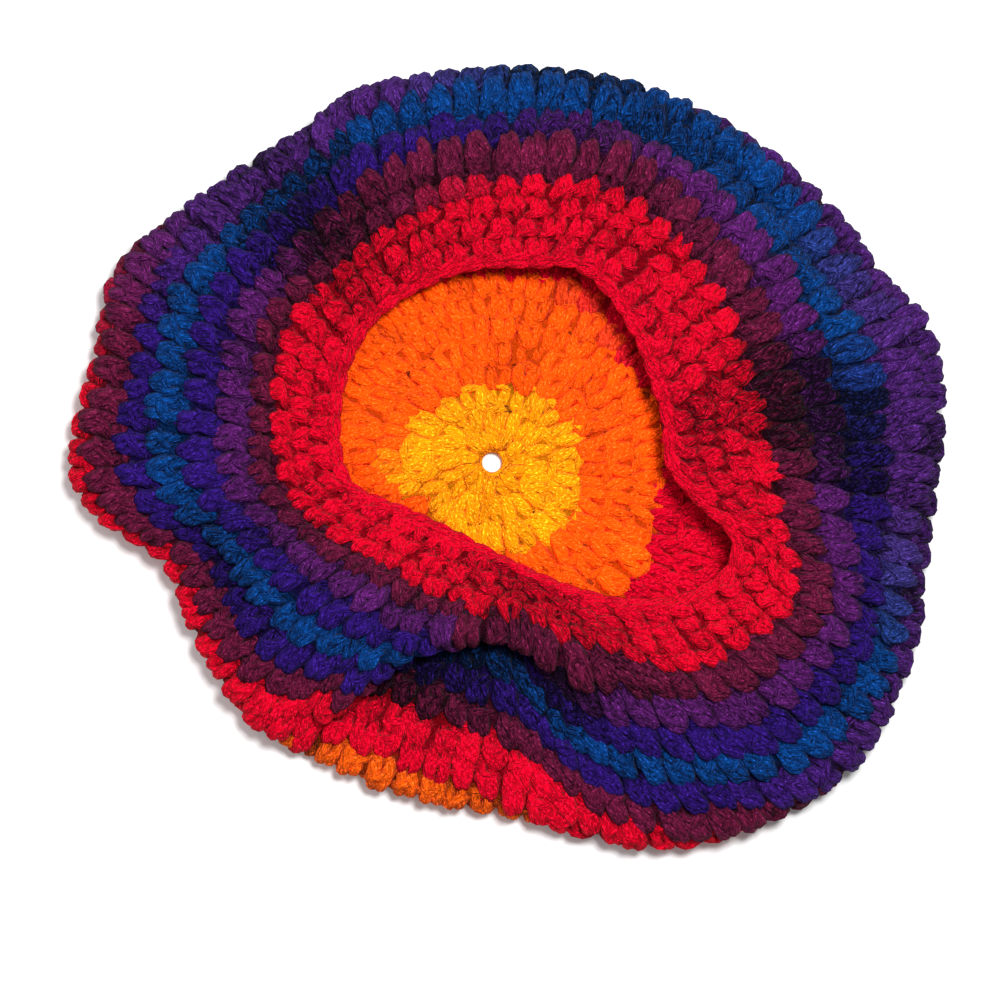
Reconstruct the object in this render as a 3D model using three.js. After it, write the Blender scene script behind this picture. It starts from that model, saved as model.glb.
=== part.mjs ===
// A crocheted beret lying on a surface with its head opening up.
// The crown lies flat, the fabric turns over at a wavy rim, and the underside comes back
// in over the crown to the band round the head opening. Near the front left the underside
// is pleated: a flap of it hangs over the layer below.
// Millimetres, +Z up, +X to the right and +Y away in plan. The fabric is one sheet worked
// in 25 joined rounds from the centre of the crown to the edge of the opening. A point on
// it has an angle about the centre of the crown and a round, counted from that centre.

import * as THREE from 'three';

// Fabric
const WALL = 4.8;
const EDGING_WALL = 5.6;
const SEAM_GAP = 0.3;
const ROUND_HEIGHT = 8.8;
const ROUNDS = 25;
const FOURTH_FROM_EDGE = ROUNDS - 4;
const COLUMNS = 64;

// Hole at the centre of the crown, with the starting ring round it
const HOLE_RADIUS = 3.2;
const RING_WIDTH = 3.0;
const ROUNDS_OVER_RING = 0.43;

// How far in from the rim the turned edge of the fabric stays curved, against its height
const RIM_TURN = 0.42;

// Outline in plan: the reach of the rim from the centre of the crown, and how many rounds
// of the fabric are turned over on to the underside there.
const RIM = [
  { angle: 0, reach: 144.3, under: 8.6 },
  { angle: 17, reach: 147.9, under: 8.8 },
  { angle: 25, reach: 140.0, under: 8.8 },
  { angle: 48, reach: 134.7, under: 8.6 },
  { angle: 74, reach: 129.5, under: 7.6 },
  { angle: 96, reach: 126.0, under: 7.8 },
  { angle: 110, reach: 128.0, under: 8.2 },
  { angle: 120, reach: 123.4, under: 8.4 },
  { angle: 132, reach: 125.0, under: 8.6 },
  { angle: 142, reach: 129.5, under: 9.1 },
  { angle: 152, reach: 135.6, under: 9.5 },
  { angle: 164, reach: 132.7, under: 9.6 },
  { angle: 182, reach: 135.0, under: 9.7 },
  { angle: 189, reach: 125.4, under: 9.8 },
  { angle: 196, reach: 111.2, under: 9.9 },
  { angle: 213, reach: 111.8, under: 9.9 },
  { angle: 222, reach: 113.2, under: 10.1 },
  { angle: 230, reach: 114.6, under: 11.1 },
  { angle: 236, reach: 112.6, under: 12.1 },
  { angle: 241, reach: 111.2, under: 12.9 },
  { angle: 254, reach: 111.3, under: 13.0 },
  { angle: 262, reach: 111.9, under: 12.9 },
  { angle: 270, reach: 113.4, under: 12.6 },
  { angle: 279, reach: 119.2, under: 12.0 },
  { angle: 286, reach: 126.6, under: 11.3 },
  { angle: 297, reach: 139.0, under: 10.6 },
  { angle: 306, reach: 145.3, under: 10.0 },
  { angle: 316, reach: 151.6, under: 9.3 },
  { angle: 326, reach: 151.9, under: 9.0 },
  { angle: 336, reach: 149.2, under: 8.8 },
  { angle: 347, reach: 143.1, under: 8.7 },
];

// The band in plan: the reach of the edge of the head opening, and of the fourth round
// back from it.
const BAND = [
  { angle: 0, edge: 57.0, fourth: 90.9 },
  { angle: 15, edge: 57.5, fourth: 87.6 },
  { angle: 30, edge: 58.6, fourth: 90.2 },
  { angle: 45, edge: 62.8, fourth: 92.8 },
  { angle: 66, edge: 68.3, fourth: 97.3 },
  { angle: 78, edge: 64.8, fourth: 93.4 },
  { angle: 92, edge: 63.3, fourth: 92.8 },
  { angle: 108, edge: 61.9, fourth: 92.2 },
  { angle: 132, edge: 59.6, fourth: 86.6 },
  { angle: 146, edge: 56.6, fourth: 88.6 },
  { angle: 160, edge: 53.2, fourth: 83.0 },
  { angle: 178, edge: 49.6, fourth: 78.0 },
  { angle: 190, edge: 45.8, fourth: 74.6 },
  { angle: 200, edge: 38.0, fourth: 69.0 },
  { angle: 210, edge: 32.2, fourth: 62.8 },
  { angle: 225, edge: 27.7, fourth: 54.4 },
  { angle: 240, edge: 26.4, fourth: 53.8 },
  { angle: 255, edge: 27.1, fourth: 54.2 },
  { angle: 270, edge: 29.6, fourth: 54.8 },
  { angle: 285, edge: 35.4, fourth: 61.0 },
  { angle: 300, edge: 46.7, fourth: 69.3 },
  { angle: 313, edge: 61.5, fourth: 92.0 },
  { angle: 324, edge: 74.5, fourth: 100.0 },
  { angle: 335, edge: 82.6, fourth: 107.5 },
  { angle: 343, edge: 80.5, fourth: 100.5 },
  { angle: 350, edge: 66.0, fourth: 94.0 },
];

// Heights over the surface: of the whole turned rim, then of the middle of the fabric
// outside and inside the crest of the underside, at the fourth round, and at the edge.
const HEIGHTS = [
  { angle: 3, rim: 18, outer: 14.5, inner: 16, fourth: 27, edge: 20 },
  { angle: 9, rim: 19, outer: 17, inner: 13.5, fourth: 25.5, edge: 20 },
  { angle: 16, rim: 19, outer: 23, inner: 16.5, fourth: 24.5, edge: 21 },
  { angle: 24, rim: 19, outer: 26, inner: 23.5, fourth: 26, edge: 22 },
  { angle: 40, rim: 19, outer: 28, inner: 29, fourth: 29, edge: 22 },
  { angle: 75, rim: 21, outer: 28, inner: 29, fourth: 27, edge: 20 },
  { angle: 105, rim: 20, outer: 26, inner: 27, fourth: 24, edge: 14 },
  { angle: 128, rim: 17, outer: 20, inner: 20, fourth: 19, edge: 11 },
  { angle: 145, rim: 19, outer: 24, inner: 24, fourth: 21, edge: 10 },
  { angle: 182, rim: 19, outer: 23, inner: 25, fourth: 20, edge: 9 },
  { angle: 196, rim: 18, outer: 21, inner: 24, fourth: 20, edge: 9 },
  { angle: 215, rim: 18, outer: 22, inner: 25, fourth: 21, edge: 9 },
  { angle: 230, rim: 17, outer: 21, inner: 25, fourth: 22, edge: 9 },
  { angle: 236, rim: 12, outer: 18, inner: 24, fourth: 22, edge: 9 },
  { angle: 245, rim: 12, outer: 20, inner: 25, fourth: 22, edge: 9 },
  { angle: 262, rim: 13, outer: 20, inner: 25, fourth: 22, edge: 9 },
  { angle: 285, rim: 15, outer: 20, inner: 24, fourth: 22, edge: 10 },
  { angle: 305, rim: 18, outer: 22, inner: 24, fourth: 24, edge: 14 },
  { angle: 325, rim: 19, outer: 25, inner: 27, fourth: 30, edge: 21 },
  { angle: 338, rim: 19, outer: 25, inner: 26, fourth: 31, edge: 24 },
  { angle: 348, rim: 19, outer: 23, inner: 24, fourth: 29, edge: 22 },
  { angle: 357, rim: 18, outer: 17, inner: 21, fourth: 28, edge: 20 },
];

// The pleat: the reach and the height of its lip, the rounds back from the opening at which
// the lip turns and at which the layer below comes out, how far outside the lip the foot of
// the turn lies, and how fully the pleat is formed.
const PLEAT = [
  { angle: 233, lip: 110, height: 16, turnsAt: 10.6, comesOutAt: 11.2, foot: -4, formed: 0 },
  { angle: 236, lip: 105, height: 16, turnsAt: 10.0, comesOutAt: 11.1, foot: -5, formed: 1 },
  { angle: 238, lip: 93, height: 17, turnsAt: 8.9, comesOutAt: 10.9, foot: -5, formed: 1 },
  { angle: 240, lip: 84.6, height: 19, turnsAt: 8.1, comesOutAt: 10.0, foot: -4, formed: 1 },
  { angle: 243, lip: 75.4, height: 21, turnsAt: 7.3, comesOutAt: 9.2, foot: -4, formed: 1 },
  { angle: 246, lip: 67.5, height: 23, turnsAt: 6.4, comesOutAt: 8.5, foot: -4, formed: 1 },
  { angle: 250, lip: 63.4, height: 24, turnsAt: 5.7, comesOutAt: 8.0, foot: -4, formed: 1 },
  { angle: 256, lip: 60, height: 24.6, turnsAt: 5.2, comesOutAt: 7.6, foot: -4, formed: 1 },
  { angle: 263, lip: 57, height: 25.2, turnsAt: 4.8, comesOutAt: 7.2, foot: -4, formed: 1 },
  { angle: 271, lip: 56, height: 25.5, turnsAt: 4.6, comesOutAt: 6.9, foot: -4, formed: 1 },
  { angle: 278, lip: 57, height: 25, turnsAt: 4.5, comesOutAt: 6.8, foot: -2, formed: 1 },
  { angle: 285, lip: 60, height: 25, turnsAt: 4.5, comesOutAt: 6.0, foot: 2, formed: 0.85 },
  { angle: 292, lip: 65.5, height: 25, turnsAt: 4.5, comesOutAt: 5.6, foot: 6, formed: 0.6 },
  { angle: 302, lip: 76, height: 25, turnsAt: 4.5, comesOutAt: 5.4, foot: 9, formed: 0.25 },
  { angle: 312, lip: 96, height: 26, turnsAt: 4.5, comesOutAt: 5.2, foot: 9, formed: 0 },
];

// The yarn's colours, worn matt
const YARN = {
  gold: 0xfaa505,
  orange: 0xff5a00,
  red: 0xe10028,
  burgundy: 0x6e0a2d,
  purple: 0x5a146e,
  indigo: 0x2d146e,
  blue: 0x004b96,
};

// Each stripe is a run of whole rounds, counted from the centre of the crown
const STRIPES = [
  { name: 'crown_gold', from: 0, to: 3, colour: 'gold', rowStep: 3 },
  { name: 'crown_orange', from: 3, to: 7, colour: 'orange', rowStep: 4 },
  { name: 'crown_red', from: 7, to: 9, colour: 'red', rowStep: 2 },
  { name: 'crown_burgundy', from: 9, to: 10, colour: 'burgundy', rowStep: 1 },
  { name: 'slouch_orange', from: 10, to: 13, colour: 'orange', rowStep: 0.6 },
  { name: 'slouch_red', from: 13, to: 15, colour: 'red', rowStep: 0.6 },
  { name: 'slouch_burgundy', from: 15, to: 16, colour: 'burgundy', rowStep: 0.5 },
  { name: 'slouch_indigo', from: 16, to: 17, colour: 'indigo', rowStep: 0.5 },
  { name: 'underside_blue', from: 17, to: 18, colour: 'blue', rowStep: 0.5 },
  { name: 'underside_indigo', from: 18, to: 19, colour: 'indigo', rowStep: 0.5 },
  { name: 'underside_purple', from: 19, to: 20, colour: 'purple', rowStep: 0.5 },
  { name: 'underside_burgundy', from: 20, to: 21, colour: 'burgundy', rowStep: 0.5 },
  { name: 'band_red', from: 21, to: 24.5, colour: 'red', rowStep: 1.2 },
];

const DEGREE = Math.PI / 180;

// A table's column at an angle, on smooth curves through the rows and round the circle
function around(table, column, angle) {
  const turned = ((angle % 360) + 360) % 360;
  const count = table.length;
  const row = (index) => {
    const lap = Math.floor(index / count);
    const entry = table[index - lap * count];
    return { at: entry.angle + 360 * lap, value: entry[column] };
  };
  let next = table.findIndex((entry) => entry.angle > turned);
  if (next < 0) next = count;
  const [a, b, c, d] = [row(next - 2), row(next - 1), row(next), row(next + 1)];
  const span = c.at - b.at;
  const t = (turned - b.at) / span;
  const slopeB = ((c.value - a.value) / (c.at - a.at)) * span;
  const slopeC = ((d.value - b.value) / (d.at - b.at)) * span;
  const t2 = t * t;
  const t3 = t2 * t;
  return (
    (2 * t3 - 3 * t2 + 1) * b.value +
    (t3 - 2 * t2 + t) * slopeB +
    (3 * t2 - 2 * t3) * c.value +
    (t3 - t2) * slopeC
  );
}

function mix(a, b, share) {
  return a + (b - a) * share;
}

// How fully the pleat is formed: it is there only between its first and last rows
function pleatFormed(angle) {
  const first = PLEAT[0].angle;
  const last = PLEAT[PLEAT.length - 1].angle;
  if (angle <= first || angle >= last) return 0;
  return Math.min(1, Math.max(0, around(PLEAT, 'formed', angle)));
}

// The guide of one radial section: straight runs that the fabric's middle lies along,
// from the centre of the crown out, round the rim, and back in to the opening.
function sectionGuide(angle) {
  const middle = WALL / 2;
  const rim = around(RIM, 'reach', angle) - middle;
  const rimTop = around(HEIGHTS, 'rim', angle) - middle;
  const turn = RIM_TURN * rimTop;
  const edge = around(BAND, 'edge', angle) + middle * 0.4;
  const fourth = around(BAND, 'fourth', angle);
  const outer = around(HEIGHTS, 'outer', angle);
  const inner = around(HEIGHTS, 'inner', angle);
  const fourthHeight = around(HEIGHTS, 'fourth', angle);
  const edgeHeight = around(HEIGHTS, 'edge', angle);
  const rimIn = rim - 2.2 * turn;
  const plain = [
    { reach: mix(rimIn, fourth, 0.25), height: outer },
    { reach: mix(rimIn, fourth, 0.45), height: mix(outer, inner, 0.5) },
    { reach: mix(rimIn, fourth, 0.62), height: inner },
    { reach: mix(rimIn, fourth, 0.8), height: mix(inner, fourthHeight, 0.5) },
  ];
  const lip = around(PLEAT, 'lip', angle);
  const foot = Math.min(lip + around(PLEAT, 'foot', angle), rimIn - 4);
  const lipHeight = around(PLEAT, 'height', angle);
  const behindLip = Math.min(fourth, lip - 8);
  const pleated = [
    { reach: Math.min(foot + 9, mix(foot, rimIn, 0.5)), height: rimTop - 1 },
    { reach: foot, height: rimTop - 2 },
    { reach: lip + 0.5, height: lipHeight },
    { reach: mix(lip, behindLip, 0.5), height: mix(lipHeight, inner, 0.7) },
  ];
  const formed = pleatFormed(angle);
  const underside = plain.map((point, index) => ({
    reach: mix(point.reach, pleated[index].reach, formed),
    height: mix(point.height, pleated[index].height, formed),
  }));
  return [
    { reach: HOLE_RADIUS, height: middle },
    { reach: rim - 3 * turn, height: middle },
    { reach: rim, height: middle },
    { reach: rim, height: rimTop },
    { reach: rimIn, height: rimTop },
    ...underside,
    { reach: mix(fourth, behindLip, formed), height: fourthHeight },
    { reach: edge + 7, height: mix(edgeHeight, fourthHeight, 0.2) },
    { reach: edge, height: edgeHeight },
  ];
}

// Stations along the guide, counted in its corners
const STATION_RIM = 2.5;
const STATION_COMES_OUT = 5.5;
const STATION_LIP = 7;
const STATION_FOURTH = 9;
const STATION_EDGE = 11;
const ROUNDING_PASSES = 3;

// Corners rounded by cutting them off again and again; the curve keeps to each run's middle
function roundedSection(guide) {
  let line = guide.map((point, index) => ({ ...point, station: index }));
  for (let pass = 0; pass < ROUNDING_PASSES; pass += 1) {
    const cut = [line[0]];
    for (let index = 0; index + 1 < line.length; index += 1) {
      for (const share of [0.25, 0.75]) {
        cut.push({
          reach: mix(line[index].reach, line[index + 1].reach, share),
          height: mix(line[index].height, line[index + 1].height, share),
          station: mix(line[index].station, line[index + 1].station, share),
        });
      }
    }
    cut.push(line[line.length - 1]);
    line = cut;
  }
  let length = 0;
  line.forEach((point, index) => {
    if (index > 0) {
      const before = line[index - 1];
      length += Math.hypot(point.reach - before.reach, point.height - before.height);
    }
    point.length = length;
  });
  return line;
}

// A value read off a rising list of pairs, straight between them
function readOff(list, key, value, result) {
  let index = list.findIndex((entry) => entry[key] >= value);
  if (index < 0) index = list.length - 1;
  if (index === 0) index = 1;
  const before = list[index - 1];
  const after = list[index];
  return mix(before[result], after[result], (value - before[key]) / (after[key] - before[key]));
}

// Where each round lies along a section
function roundMarks(angle, line) {
  const lengthAt = (station) => readOff(line, 'station', station, 'length');
  const under = around(RIM, 'under', angle);
  const formed = pleatFormed(angle);
  const marks = [
    { round: 0, length: 0 },
    { round: ROUNDS - under, length: lengthAt(STATION_RIM) },
    { round: FOURTH_FROM_EDGE, length: lengthAt(STATION_FOURTH) },
    { round: ROUNDS, length: lengthAt(STATION_EDGE) },
  ];
  if (formed > 0) {
    const evenly = (station) => readOff(marks, 'length', lengthAt(station), 'round');
    const comesOut = mix(
      evenly(STATION_COMES_OUT),
      ROUNDS - around(PLEAT, 'comesOutAt', angle),
      formed,
    );
    const turns = mix(evenly(STATION_LIP), ROUNDS - around(PLEAT, 'turnsAt', angle), formed);
    marks.splice(
      2,
      0,
      { round: comesOut, length: lengthAt(STATION_COMES_OUT) },
      { round: turns, length: lengthAt(STATION_LIP) },
    );
  }
  return marks;
}

// The middle of the fabric at an angle and a round
const sections = new Map();

function fabricPoint(angle, round) {
  const key = angle.toFixed(3);
  if (!sections.has(key)) {
    const line = roundedSection(sectionGuide(angle));
    sections.set(key, { line, marks: roundMarks(angle, line) });
  }
  const { line, marks } = sections.get(key);
  const length = readOff(marks, 'round', round, 'length');
  const reach = readOff(line, 'length', length, 'reach');
  const height = readOff(line, 'length', length, 'height');
  const turned = angle * DEGREE;
  return new THREE.Vector3(reach * Math.cos(turned), reach * Math.sin(turned), height);
}

// The way out of the fabric: down under the crown, up on the underside
function fabricNormal(angle, round) {
  const angleStep = 2.5;
  const roundStep = 0.2;
  const across = fabricPoint(angle + angleStep, round).sub(fabricPoint(angle - angleStep, round));
  const inward = fabricPoint(angle, Math.max(round - roundStep, 0));
  const outward = fabricPoint(angle, Math.min(round + roundStep, ROUNDS));
  return outward.sub(inward).cross(across).normalize();
}

// A closed ring of fabric between two rounds
function fabricRing(from, to, rowStep, wall) {
  const rows = Math.max(1, Math.round((to - from) / rowStep));
  const halfGap = SEAM_GAP / 2 / ROUND_HEIGHT;
  const start = from + halfGap;
  const end = to - halfGap;
  const loop = 2 * (rows + 1);
  const positions = [];
  for (let column = 0; column < COLUMNS; column += 1) {
    const angle = (360 * column) / COLUMNS;
    const outside = [];
    const inside = [];
    for (let row = 0; row <= rows; row += 1) {
      const round = mix(start, end, row / rows);
      const point = fabricPoint(angle, round);
      const way = fabricNormal(angle, round).multiplyScalar(wall / 2);
      outside.push(point.clone().add(way));
      inside.unshift(point.clone().sub(way));
    }
    for (const corner of [...outside, ...inside]) {
      positions.push(corner.x, corner.y, Math.max(corner.z, 0));
    }
  }
  const corner = (index) => new THREE.Vector3().fromArray(positions, 3 * index);
  const across = (a, b) => corner(a).distanceTo(corner(b));
  const triangles = [];
  for (let column = 0; column < COLUMNS; column += 1) {
    const here = column * loop;
    const beyond = ((column + 1) % COLUMNS) * loop;
    for (let step = 0; step < loop; step += 1) {
      const [a, b] = [here + step, here + ((step + 1) % loop)];
      const [c, d] = [beyond + ((step + 1) % loop), beyond + step];
      // The end faces are split from their outside corner, as their neighbours' are
      const atEnd = step === rows;
      const atStart = step === loop - 1;
      if (atEnd || (!atStart && across(a, c) < across(b, d))) {
        triangles.push(a, c, d, a, b, c);
      } else {
        triangles.push(a, b, d, b, c, d);
      }
    }
  }
  const geometry = new THREE.BufferGeometry();
  geometry.setAttribute('position', new THREE.Float32BufferAttribute(positions, 3));
  geometry.setIndex(triangles);
  geometry.computeVertexNormals();
  return geometry;
}

function yarnMaterial(colour) {
  return new THREE.MeshStandardMaterial({ color: YARN[colour], roughness: 0.9, metalness: 0 });
}

// The starting ring that the first round is worked into, drawn up round the hole
function startingRing() {
  const sides = 8;
  const radius = RING_WIDTH / 2;
  const profile = [];
  for (let side = 0; side <= sides; side += 1) {
    const turned = (side / sides) * 2 * Math.PI;
    profile.push(
      new THREE.Vector2(
        HOLE_RADIUS + radius + radius * Math.cos(turned),
        WALL / 2 + radius * Math.sin(turned),
      ),
    );
  }
  const ring = new THREE.LatheGeometry(profile, 24);
  ring.rotateX(Math.PI / 2);
  return ring;
}

const beret = new THREE.Group();

function addPiece(name, geometry, colour) {
  const piece = new THREE.Mesh(geometry, yarnMaterial(colour));
  piece.name = name;
  beret.add(piece);
}

addPiece('centre_ring', startingRing(), 'gold');

for (const stripe of STRIPES) {
  const from = Math.max(stripe.from, ROUNDS_OVER_RING);
  addPiece(stripe.name, fabricRing(from, stripe.to, stripe.rowStep, WALL), stripe.colour);
}

addPiece('edging', fabricRing(24.5, ROUNDS, 0.25, EDGING_WALL), 'red');

// The origin is under the middle of the beret's box, on the surface
const box = new THREE.Box3().setFromObject(beret);
const centre = box.getCenter(new THREE.Vector3());
beret.position.set(-centre.x, -centre.y, -box.min.z);
beret.updateMatrixWorld(true);

export default beret;
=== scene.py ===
import math

import bpy
import numpy as np
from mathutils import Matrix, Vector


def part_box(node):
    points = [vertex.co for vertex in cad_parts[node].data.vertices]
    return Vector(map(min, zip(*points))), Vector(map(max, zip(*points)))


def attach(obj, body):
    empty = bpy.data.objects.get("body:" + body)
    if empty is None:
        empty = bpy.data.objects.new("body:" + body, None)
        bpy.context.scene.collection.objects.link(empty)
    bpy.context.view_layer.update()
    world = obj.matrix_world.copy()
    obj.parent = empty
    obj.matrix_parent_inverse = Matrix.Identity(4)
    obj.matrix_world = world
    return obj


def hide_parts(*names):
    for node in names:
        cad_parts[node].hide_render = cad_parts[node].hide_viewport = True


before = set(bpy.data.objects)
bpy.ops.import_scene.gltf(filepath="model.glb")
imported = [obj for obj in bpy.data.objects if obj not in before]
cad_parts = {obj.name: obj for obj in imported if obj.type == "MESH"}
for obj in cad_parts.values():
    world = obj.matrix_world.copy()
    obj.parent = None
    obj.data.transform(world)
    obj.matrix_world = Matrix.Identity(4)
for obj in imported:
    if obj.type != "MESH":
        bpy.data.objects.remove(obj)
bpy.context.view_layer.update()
bpy.ops.object.select_all(action="DESELECT")

MM = 0.001

# The fabric
WALL = 4.8
ROUNDS = 25
FOURTH_FROM_EDGE = ROUNDS - 4
HOLE_RADIUS = 3.2
RING_WIDTH = 3.0
RIM_TURN = 0.42
STITCH_WIDTH = 8.7

# Outline in plan: the rim's reach from the crown's centre, and the rounds turned under
RIM = {
    "angle": [0, 17, 25, 48, 74, 96, 110, 120, 132, 142, 152, 164, 182, 189, 196, 213, 222,
              230, 236, 241, 254, 262, 270, 279, 286, 297, 306, 316, 326, 336, 347],
    "reach": [144.3, 147.9, 140, 134.7, 129.5, 126, 128, 123.4, 125, 129.5, 135.6, 132.7,
              135, 125.4, 111.2, 111.8, 113.2, 114.6, 112.6, 111.2, 111.3, 111.9, 113.4,
              119.2, 126.6, 139, 145.3, 151.6, 151.9, 149.2, 143.1],
    "under": [8.6, 8.8, 8.8, 8.6, 7.6, 7.8, 8.2, 8.4, 8.6, 9.1, 9.5, 9.6, 9.7, 9.8, 9.9,
              9.9, 10.1, 11.1, 12.1, 12.9, 13, 12.9, 12.6, 12, 11.3, 10.6, 10, 9.3, 9, 8.8,
              8.7],
}

# The band in plan: the reach of the opening's edge, and of the fourth round back from it
BAND = {
    "angle": [0, 15, 30, 45, 66, 78, 92, 108, 132, 146, 160, 178, 190, 200, 210, 225, 240,
              255, 270, 285, 300, 313, 324, 335, 343, 350],
    "edge": [57.0, 57.5, 58.6, 62.8, 68.3, 64.8, 63.3, 61.9, 59.6, 56.6, 53.2, 49.6, 45.8,
             38.0, 32.2, 27.7, 26.4, 27.1, 29.6, 35.4, 46.7, 61.5, 74.5, 82.6, 80.5, 66.0],
    "fourth": [90.9, 87.6, 90.2, 92.8, 97.3, 93.4, 92.8, 92.2, 86.6, 88.6, 83.0, 78.0,
               74.6, 69.0, 62.8, 54.4, 53.8, 54.2, 54.8, 61.0, 69.3, 92.0, 100.0, 107.5,
               100.5, 94.0],
}

# Heights over the surface: of the turned rim, and of the fabric's middle outside and
# inside the crest, at the fourth round and at the edge of the opening
HEIGHTS = {
    "angle": [3, 9, 16, 24, 40, 75, 105, 128, 145, 182, 196, 215, 230, 236, 245, 262, 285,
              305, 325, 338, 348, 357],
    "rim": [18, 19, 19, 19, 19, 21, 20, 17, 19, 19, 18, 18, 17, 12, 12, 13, 15, 18, 19, 19,
            19, 18],
    "outer": [14.5, 17, 23, 26, 28, 28, 26, 20, 24, 23, 21, 22, 21, 18, 20, 20, 20, 22, 25,
              25, 23, 17],
    "inner": [16, 13.5, 16.5, 23.5, 29, 29, 27, 20, 24, 25, 24, 25, 25, 24, 25, 25, 24, 24,
              27, 26, 24, 21],
    "fourth": [27, 25.5, 24.5, 26, 29, 27, 24, 19, 21, 20, 20, 21, 22, 22, 22, 22, 22, 24,
               30, 31, 29, 28],
    "edge": [20, 20, 21, 22, 22, 20, 14, 11, 10, 9, 9, 9, 9, 9, 9, 9, 10, 14, 21, 24, 22,
             20],
}

# The pleat: its lip's reach and height, the rounds back from the opening where the lip turns
# and where the layer below comes out, how far outside the lip its foot lies, and how full it
# is
PLEAT = {
    "angle": [233, 236, 238, 240, 243, 246, 250, 256, 263, 271, 278, 285, 292, 302, 312],
    "lip": [110, 105, 93, 84.6, 75.4, 67.5, 63.4, 60, 57, 56, 57, 60, 65.5, 76, 96],
    "height": [16, 16, 17, 19, 21, 23, 24, 24.6, 25.2, 25.5, 25, 25, 25, 25, 26],
    "turnsAt": [10.6, 10, 8.9, 8.1, 7.3, 6.4, 5.7, 5.2, 4.8, 4.6, 4.5, 4.5, 4.5, 4.5, 4.5],
    "comesOutAt": [11.2, 11.1, 10.9, 10, 9.2, 8.5, 8, 7.6, 7.2, 6.9, 6.8, 6, 5.6, 5.4, 5.2],
    "foot": [-4, -5, -5, -4, -4, -4, -4, -4, -4, -4, -2, 2, 6, 9, 9],
    "formed": [0, 1, 1, 1, 1, 1, 1, 1, 1, 1, 1, 0.85, 0.6, 0.25, 0],
}

# How a section is drawn between those places. The rim's in turns of the rim, the edge's
# set-back as a share of half the wall, and the others in millimetres.
RIM_FLAT = 3
RIM_TOP = 2.2
EDGE_SET_BACK = 0.4
EDGE_FLAT = 7
FOOT_ROOM = 4
FOOT_FLAT = 9
FOOT_RISE = 1
FOOT_DROP = 2
LIP_FLAT = 8
LIP_OVERHANG = 0.5
# Where the corners of the plain underside lie, as shares of the way from rim to fourth round
UNDERSIDE_SHARES = (0.25, 0.45, 0.62, 0.8)

# Places along a section, counted in its corners from the hole
STATION_RIM = 2.5
STATION_COMES_OUT = 5.5
STATION_LIP = 7
STATION_FOURTH = 9
STATION_EDGE = 11
ROUNDING_PASSES = 3

# The yarn's colours from the centre of the crown on, each with the round it lasts to
DYE = [
    ("gold", 3.06),
    ("orange", 6.46),
    ("red", 7.02),
    ("orange", 7.42),
    ("red", 9.20),
    ("burgundy", 10.20),
    ("red", 11.50),
    ("rim_orange", 13.42),
    ("red", 15.22),
    ("burgundy", 16.26),
    ("violet", 16.80),
    ("indigo", 17.27),
    ("violet", 17.42),
    ("blue", 17.61),
    ("violet", 17.73),
    ("blue", 18.67),
    ("indigo", 19.49),
    ("purple", 20.36),
    ("burgundy", 21.46),
    ("red", 25.00),
]
COLOUR = {
    "gold": (0.92, 0.275, 0.001),
    "orange": (1.00, 0.085, 0.001),
    "rim_orange": (0.72, 0.085, 0.002),
    "red": (0.56, 0.0003, 0.014),
    "burgundy": (0.092, 0.005, 0.026),
    "purple": (0.062, 0.007, 0.082),
    "violet": (0.048, 0.010, 0.105),
    "indigo": (0.017, 0.004, 0.105),
    "blue": (0.0008, 0.030, 0.140),
}
# How far one colour runs into the next, in rounds
DYE_BLEND = 0.03
# Where each round is joined, which leans as the rounds go on
JOIN = {
    "round": [1, 4, 13, 14, 15, 16, 17, 18, 19, 20, 21],
    "angle": [193, 203, 232, 234, 237, 240, 243, 247, 251, 256, 262],
}

# Each stripe's stitches replace one ring of the fabric
STRIPES = [
    ("crown_gold", 0, 3, "gold_yarn"),
    ("crown_orange", 3, 7, "orange_yarn"),
    ("crown_red", 7, 9, "red_yarn"),
    ("crown_burgundy", 9, 10, "burgundy_yarn"),
    ("slouch_orange", 10, 13, "orange_yarn"),
    ("slouch_red", 13, 15, "red_yarn"),
    ("slouch_burgundy", 15, 16, "burgundy_yarn"),
    ("slouch_indigo", 16, 17, "indigo_yarn"),
    ("underside_blue", 17, 18, "blue_yarn"),
    ("underside_indigo", 18, 19, "indigo_yarn"),
    ("underside_purple", 19, 20, "purple_yarn"),
    ("underside_burgundy", 20, 21, "burgundy_yarn"),
    ("band_red", 21, 25, "red_yarn"),
]

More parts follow.
